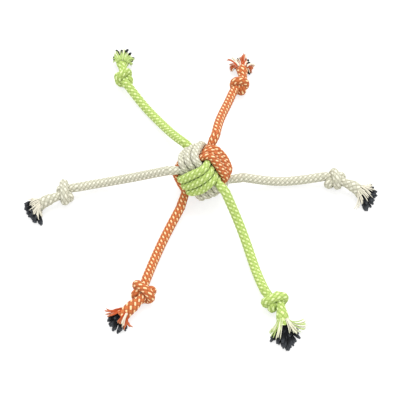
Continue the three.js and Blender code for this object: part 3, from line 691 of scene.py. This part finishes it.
CORE_LOCKS = {
    "green_back_left": [
        (62, 15, 0.9, 1), (46, 19, 1.1, 1), (26, 23, 1.2, 1), (9, 25, 1.2, 1), (-12, 24, 1.2, 1),
        (-27, 22, 1.1, 1), (-54, 19, 0.9, 1), (-70, 17, 0.8, 1), (-88, 13, 0.7, 1)],
    "orange_back": [
        (46, 18, 0.9, 1), (26, 15, 0.9, 2), (14, 18, 0.9, 1), (-33, 16, 0.9, 2), (-52, 15, 0.8, 2),
        (-108, 13, 0.2, 2), (62, 14, 0.6, 2)],
    "orange_front_left": [
        (-44, 17, 0.3, 3), (-24, 19, 0, 3), (-8, 16, 0.2, 3), (2, 19, 0, 3), (14, 15, 0.2, 3),
        (30, 21, 0, 3), (44, 19, 0, 3), (56, 18, 0.2, 3), (66, 17, 0, 3), (-34, 13, 0.2, 3),
        (10, 10, 0.6, 3), (-14, 10, 0.6, 3), (32, 11, 0.6, 3)],
    "beige_left": [
        (-56, 16, 0.4, 3), (-42, 17, 0.4, 4), (-24, 18, 0.4, 4), (-8, 17, 0.5, 4), (8, 16, 0.5, 4),
        (24, 17, 0.4, 4), (40, 18, 0.4, 4), (54, 20, 0.3, 4), (65, 22, 0.2, 4), (76, 24, 0.1, 3),
        (-30, 14, 0.9, 3), (-4, 13, 0.9, 3), (20, 13, 0.9, 3), (46, 14, 0.8, 3), (64, 17, 0.5, 3)],
    "beige_right": [
        (76, 20, 0.3, 4), (62, 18, 0.5, 4), (48, 19, 0.3, 4), (32, 18, 0.5, 4), (16, 18, 0.3, 4),
        (0, 17, 0.5, 4), (-17, 20, 0.2, 4), (-30, 20, 0.3, 4), (-42, 22, 0.1, 4), (52, 15, 0.9, 3),
        (30, 14, 0.9, 3), (8, 14, 0.9, 3), (-12, 15, 0.8, 3), (-32, 16, 0.6, 3)],
    "green_front_right": [
        (-49, 23, 0.1, 3), (-36, 19, 0.1, 3), (-18, 23, 0.1, 3), (-7, 28, 0.1, 4), (4, 30, 0.2, 4),
        (14, 29, 0.1, 4), (26, 25, 0.2, 3), (43, 26, 0.1, 3), (56, 20, 0.3, 3), (69, 18, 0.5, 3),
        (0, 22, 0.5, 4), (20, 18, 0.7, 4), (-12, 15, 0.6, 3), (40, 15, 0.8, 3), (8, 12, 0.8, 3)],
}
STRAND_STEPS = 10
STRAND_SIDES = 7
COVER_STRAND_R = 0.0008
FINE_STRAND_R = 0.00058        # on the two ends whose cover yarns have come apart into plies
FINE_ENDS = ("beige_left", "beige_right", "green_front_right")
CORE_STRAND_R = 0.0019
COVER_SPREAD = 0.0062          # of the strands' roots from the middle of the mouth
CORE_SPREAD = 0.0030
ROOT_DEPTH = 0.004             # of the roots inside the mouth
KNEE_AHEAD = 0.22              # of the reach, how far a strand goes on along the tail,
KNEE_ASIDE = 0.3               # and how far it has turned to its own way there
KNEE_RISE = 0.35               # of how high it starts
TIP_HEIGHT = 0.002             # of a strand that starts in the middle of the mouth
TIP_RISE = 0.008               # more, for each 1 of how high a strand starts
LOCK_WIDTH = 0.75              # at the root, as a share of the size its strands fill
LOCK_FAN = 0.35                # more at the tip
WAVE = 0.0007                  # to each side at the tip
WAVES_ASIDE = 5                # radians from root to tip
WAVES_UP = 6
TURN_SCATTER = 0.05
REACH_SCATTER = (0.85, 1.05)
PLACE_SCATTER = (0.1, 1)       # within a lock
WAVE_SCATTER = (0.3, 1)
THICKNESS_SCATTER = (0.8, 1.15)
COVER_TIP_FADE = 0.35
CUT_SIZE = 0.55                # of a strand's last ring, which rounds the cut
TWIST_LENGTH = 0.003
TWIST_TONE = 0.45              # of the ground colour, painted shade between the twisted plies
TWIST_SHARE = 0.35
YARN_FIBRES = 1400             # noise scale, to the metre
YARN_BUMP = 0.0002
YARN_ROUGHNESS = (0.6, 0.9)
YARN_SHINE = 0.05
YARN_SHEEN = 0.1

CORE_YARN = linear(20, 21, 25)
# grey of the core yarns' tips: partly wear, partly a painted highlight
CORE_TIP = linear(96, 100, 106)
LOOSE_PALE = linear(252, 246, 226)
LOOSE_YARN = {
    "green": linear(198, 222, 134),
    "orange": linear(204, 90, 46),
    "beige": linear(222, 218, 200),
}


def loose_yarn(name, ground, light, tip_tone):
    """Loose twisted yarn: the ground colour, the light one where the attribute pale says so, and the tip
    tone where the attribute tip does; on the black core yarns that grey is partly wear and partly a painted
    highlight. The twist is a slanting wave round and along it, in relief and as painted shade between
    the plies, and the creases get painted shade too."""
    material = bpy.data.materials.new(name)
    material.use_nodes = True
    tree = material.node_tree
    shader = tree.nodes["Principled BSDF"]
    pale = add(tree, "Attribute", {}, attribute_name="pale").outputs["Fac"]
    tip = add(tree, "Attribute", {}, attribute_name="tip").outputs["Fac"]
    shape = add(tree, "TexCoord", {}).outputs["Object"]
    fibre = add(tree, "TexNoise", {"Vector": shape, "Scale": YARN_FIBRES, "Detail": 3}).outputs[0]
    counts = add(tree, "SeparateXYZ", {0: add(tree, "UVMap", {}, uv_map="yarns").outputs[0]}).outputs
    phase = calc(tree, "MULTIPLY", calc(tree, "ADD", counts[0], counts[1]), 4 * pi)
    twist = calc(tree, "ADD", calc(tree, "MULTIPLY", calc(tree, "SINE", phase), 0.5), 0.5)
    colour = mixed(tree, pale, ground, light)
    colour = mixed(tree, calc(tree, "MULTIPLY", tip, ramp(tree, fibre, 0.3, 0.6, 0.4, 1.0)), colour, tip_tone)
    # Painted shade in the grooves between the twisted plies
    dark = tuple(TWIST_TONE * part for part in ground[:3]) + (1.0,)
    groove = calc(tree, "MULTIPLY", calc(tree, "SUBTRACT", 1.0, twist), TWIST_SHARE)
    colour = mixed(tree, groove, colour, dark)
    # painted shade in the creases
    tree.links.new(with_crease_shade(tree, colour, ground), shader.inputs["Base Color"])
    height = calc(tree, "ADD", calc(tree, "MULTIPLY", twist, 0.7), calc(tree, "MULTIPLY", fibre, 0.6))
    bump = add(tree, "Bump", {"Strength": 0.6, "Distance": YARN_BUMP, "Height": height})
    tree.links.new(bump.outputs[0], shader.inputs["Normal"])
    tree.links.new(ramp(tree, fibre, *NOISE_RANGE, *YARN_ROUGHNESS), shader.inputs["Roughness"])
    shader.inputs["Specular IOR Level"].default_value = YARN_SHINE
    shader.inputs["Sheen Weight"].default_value = YARN_SHEEN
    return material


def strand_rings(leg, locks, radius, spread, dice):
    """The rings of a frayed end's strands, the picks along them and each ring's share of its strand. A
    lock is a quadratic curve from inside the sleeve to its tip, which lies on or near the floor; its
    strands keep their places side by side, fan out a little and wave. Each ring is a small circle square
    to its strand."""
    rope = leg.rope
    last = leg_rings(leg, leg.end, leg.end)[0]
    end, way = rope.places[last], rope.ways[last] * leg.sign
    level = unit(way * (1, 1, 0))
    left = np.cross(UP, level)
    locks = np.array(locks, float)
    turn, reach, lift, count = np.repeat(locks, locks[:, 3].astype(int), axis=0)[:, :4].T
    turn = np.radians(turn) + dice.normal(0, TURN_SCATTER, len(turn))
    reach = reach / 1000 * dice.uniform(*REACH_SCATTER, len(turn))
    share = np.linspace(0, 1, STRAND_STEPS)[None, :, None]
    towards = level * np.cos(turn)[:, None] + left * np.sin(turn)[:, None]
    reach, lift = reach[:, None], lift[:, None]
    root = end - way * ROOT_DEPTH + (left * np.sin(turn)[:, None] + UP * lift) * spread
    knee = (root + way * (ROOT_DEPTH + KNEE_AHEAD * reach)
            + (towards + UP * KNEE_RISE * lift) * KNEE_ASIDE * reach)
    tip = end * (1, 1, 0) + towards * reach + UP * (TIP_HEIGHT + TIP_RISE * lift)
    line = (root[:, None] * (1 - share) ** 2 + 2 * knee[:, None] * share * (1 - share)
            + tip[:, None] * share ** 2)

    angle, away = dice.uniform(0, 2 * pi, len(turn)), dice.uniform(*PLACE_SCATTER, len(turn)) ** 0.5
    beside = np.cross(UP, towards) * np.cos(angle)[:, None] + UP * np.sin(angle)[:, None]
    count = count[:, None, None]
    lock_r = radius * count ** 0.5 * (count > 1)
    line = line + beside[:, None] * away[:, None, None] * lock_r * (LOCK_WIDTH + LOCK_FAN * share ** 1.5)
    phase = dice.uniform(0, 2 * pi, (2, len(turn), 1, 1))
    swing = dice.uniform(*WAVE_SCATTER, (len(turn), 1, 1))
    wave = (np.cross(UP, towards)[:, None] * np.sin(WAVES_ASIDE * share + phase[0])
            + UP * np.sin(WAVES_UP * share + phase[1]))
    line = line + wave * swing * WAVE * share
    thickness = dice.uniform(*THICKNESS_SCATTER, (len(turn), 1, 1))
    radii = radius * np.where(share < 1, 1, CUT_SIZE) * thickness
    line[..., 2] = np.maximum(line[..., 2], radii[..., 0])

    along = unit(np.gradient(line, axis=1))
    side = unit(np.cross(along, UP))
    over = np.cross(along, side)
    corner = 2 * pi * np.arange(STRAND_SIDES) / STRAND_SIDES
    round_it = side[:, :, None] * np.cos(corner)[:, None] + over[:, :, None] * np.sin(corner)[:, None]
    rings = line[:, :, None] + round_it * radii[:, :, None]
    rings[..., 2] = np.maximum(rings[..., 2], 0)
    picks = share[..., 0] * reach / TWIST_LENGTH
    return rings, picks, np.broadcast_to(share[..., 0], picks.shape)


core_finish = loose_yarn("black_core_yarn", CORE_YARN, CORE_YARN, CORE_TIP)
strand_finish = {
    colour: loose_yarn(f"{colour}_loose_cotton", LOOSE_YARN[colour], LOOSE_PALE, pale)
    for colour, (_, pale, _) in COVER_COLOURS.items()
}
for number, leg in enumerate(legs):
    dice = np.random.default_rng(20 + number)
    colour = leg.rope.colour
    locks = COVER_LOCKS[leg.name]
    radius = FINE_STRAND_R if leg.name in FINE_ENDS else COVER_STRAND_R
    rings, picks, share = strand_rings(leg, locks, radius, COVER_SPREAD, dice)
    pale_share = np.repeat([lock[4] for lock in locks], [lock[3] for lock in locks])
    pale = (dice.random(len(rings)) < pale_share)[:, None] * np.ones_like(share)
    leg.cover_yarns = skin(f"{leg.name}_cover_strands", rings, 1, picks, strand_finish[colour],
                           pale=pale, tip=COVER_TIP_FADE * share ** 3)
    rings, picks, share = strand_rings(leg, CORE_LOCKS[leg.name], CORE_STRAND_R, CORE_SPREAD, dice)
    tip_tone = np.clip(share * 4 - 3, 0, 1)    # the last quarter, grey partly from wear and partly as a painted highlight
    leg.core_yarns = skin(f"{leg.name}_core_strands", rings, 1, picks, core_finish,
                          pale=np.zeros_like(share), tip=tip_tone)
    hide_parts(f"{leg.name}_cover_yarns")
    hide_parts(f"{leg.name}_core_yarns")
    for piece in (leg.cover_yarns, leg.core_yarns):
        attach(piece, f"{leg.name}_outer")

# The windings
# Each rope's share of the ball, one unbroken stretch from the exit of one leg to that of the other.
for rope in ropes:
    winding = cover_piece(f"{rope.colour}_winding", rope, rings_between(rope, *rope.exits))
    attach(winding, "ball")
    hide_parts(f"{rope.colour}_fist_winding")

# The filler
# A lump of packed cotton waste that the ball is wound round. It hardly shows between the ropes, and is
# pressed into hollows by them.
FILLER_R = 0.0165
FILLER_RINGS = 60
FILLER_POINTS = 96
FILLER_DENT = 0.0009
FILLER_TUFTS = 400             # noise scale, to the metre
FILLER_BUMP = 0.0006


def packed_cotton():
    """Packed cotton waste: pale grey, with darker and lighter tufts."""
    material = bpy.data.materials.new("packed_cotton_waste")
    material.use_nodes = True
    tree = material.node_tree
    shader = tree.nodes["Principled BSDF"]
    shape = add(tree, "TexCoord", {}).outputs["Object"]
    tufts = add(tree, "TexNoise", {"Vector": shape, "Scale": FILLER_TUFTS, "Detail": 5}).outputs[0]
    colour = mixed(tree, ramp(tree, tufts, 0.35, 0.65), linear(150, 145, 130), linear(190, 186, 172))
    tree.links.new(colour, shader.inputs["Base Color"])
    bump = add(tree, "Bump", {"Strength": 0.7, "Distance": FILLER_BUMP, "Height": tufts})
    tree.links.new(bump.outputs[0], shader.inputs["Normal"])
    shader.inputs["Roughness"].default_value = 0.95
    return material


def filler_rings():
    """A sphere as rings from pole to pole, with shallow dents where three waves of the angles meet."""
    fall = np.linspace(0.02, pi - 0.02, FILLER_RINGS)[:, None]
    turn = 2 * pi * np.arange(FILLER_POINTS)[None] / FILLER_POINTS
    radius = FILLER_R - FILLER_DENT * (np.sin(5 * turn + 3 * fall) * np.sin(4 * fall) + 1) / 2
    sphere = [np.sin(fall) * np.cos(turn), -np.sin(fall) * np.sin(turn), np.cos(fall) + 0 * turn]
    return ball_centre + np.stack(sphere, -1) * radius[..., None]


filler = skin("ball_filler", filler_rings()[None], 1, np.arange(FILLER_RINGS) / FILLER_RINGS,
              packed_cotton())
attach(filler, "ball")
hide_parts("fist_core")

# The floor
# A plain white studio floor. The camera sees it as white, and it keeps the toy's soft shadow.
FLOOR_HALF = 3.0
FLOOR_DROP = 0.0003            # below the toy, so that the two never share a face
FLOOR_GLOW = 0.70
FLOOR_WHITE = (0.8, 0.8, 0.8, 1)
FLOOR_MATT = (0.42, 0.42, 0.42, 1)       # under the glow


def seen_straight(tree):
    """1 on the rays that the camera sends out, also by way of a mirror or glass, and 0 on all others."""
    rays = add(tree, "LightPath", {})
    seen = calc(tree, "MAXIMUM", rays.outputs["Is Camera Ray"], rays.outputs["Is Glossy Ray"])
    return calc(tree, "MAXIMUM", seen, rays.outputs["Is Transmission Ray"])


floor_mesh = bpy.data.meshes.new("floor")
floor_corners = [(x * FLOOR_HALF, y * FLOOR_HALF, -FLOOR_DROP)
                 for x, y in ((-1, -1), (1, -1), (1, 1), (-1, 1))]
floor_mesh.from_pydata(floor_corners, [], [(0, 1, 2, 3)])
floor = bpy.data.objects.new("floor", floor_mesh)
bpy.context.scene.collection.objects.link(floor)
paper = bpy.data.materials.new("white_paper")
paper.use_nodes = True
tree = paper.node_tree
tree.nodes.clear()
plain = add(tree, "BsdfDiffuse", {"Color": FLOOR_WHITE}).outputs[0]
matt = add(tree, "BsdfDiffuse", {"Color": FLOOR_MATT}).outputs[0]
glow = add(tree, "Emission", {"Color": (1, 1, 1, 1), "Strength": FLOOR_GLOW}).outputs[0]
white = add(tree, "AddShader", {0: matt, 1: glow}).outputs[0]
surface = add(tree, "MixShader", {0: seen_straight(tree), 1: plain, 2: white}).outputs[0]
add(tree, "OutputMaterial", {"Surface": surface})
floor_mesh.materials.append(paper)

# The lamps
# Plain soft studio light: an even white room, and a broad lamp high behind the toy.
ROOM_LIGHT = 0.95
LAMP_LIGHT = 1.6
LAMP_SPREAD = radians(40)
LAMP_TURN = (radians(-24), radians(6), 0)

world = bpy.data.worlds.new("studio")
bpy.context.scene.world = world
world.use_nodes = True
sky = world.node_tree
sky.nodes.clear()
strength = calc(sky, "ADD", ROOM_LIGHT, calc(sky, "MULTIPLY", seen_straight(sky), 1 - ROOM_LIGHT))
back = add(sky, "Background", {"Color": (1, 1, 1, 1), "Strength": strength}).outputs[0]
add(sky, "OutputWorld", {"Surface": back})
lamp = bpy.data.objects.new("lamp", bpy.data.lights.new("lamp", "SUN"))
lamp.data.energy = LAMP_LIGHT
lamp.data.angle = LAMP_SPREAD
lamp.rotation_euler = LAMP_TURN
bpy.context.scene.collection.objects.link(lamp)
bpy.context.scene.view_settings.view_transform = "Standard"
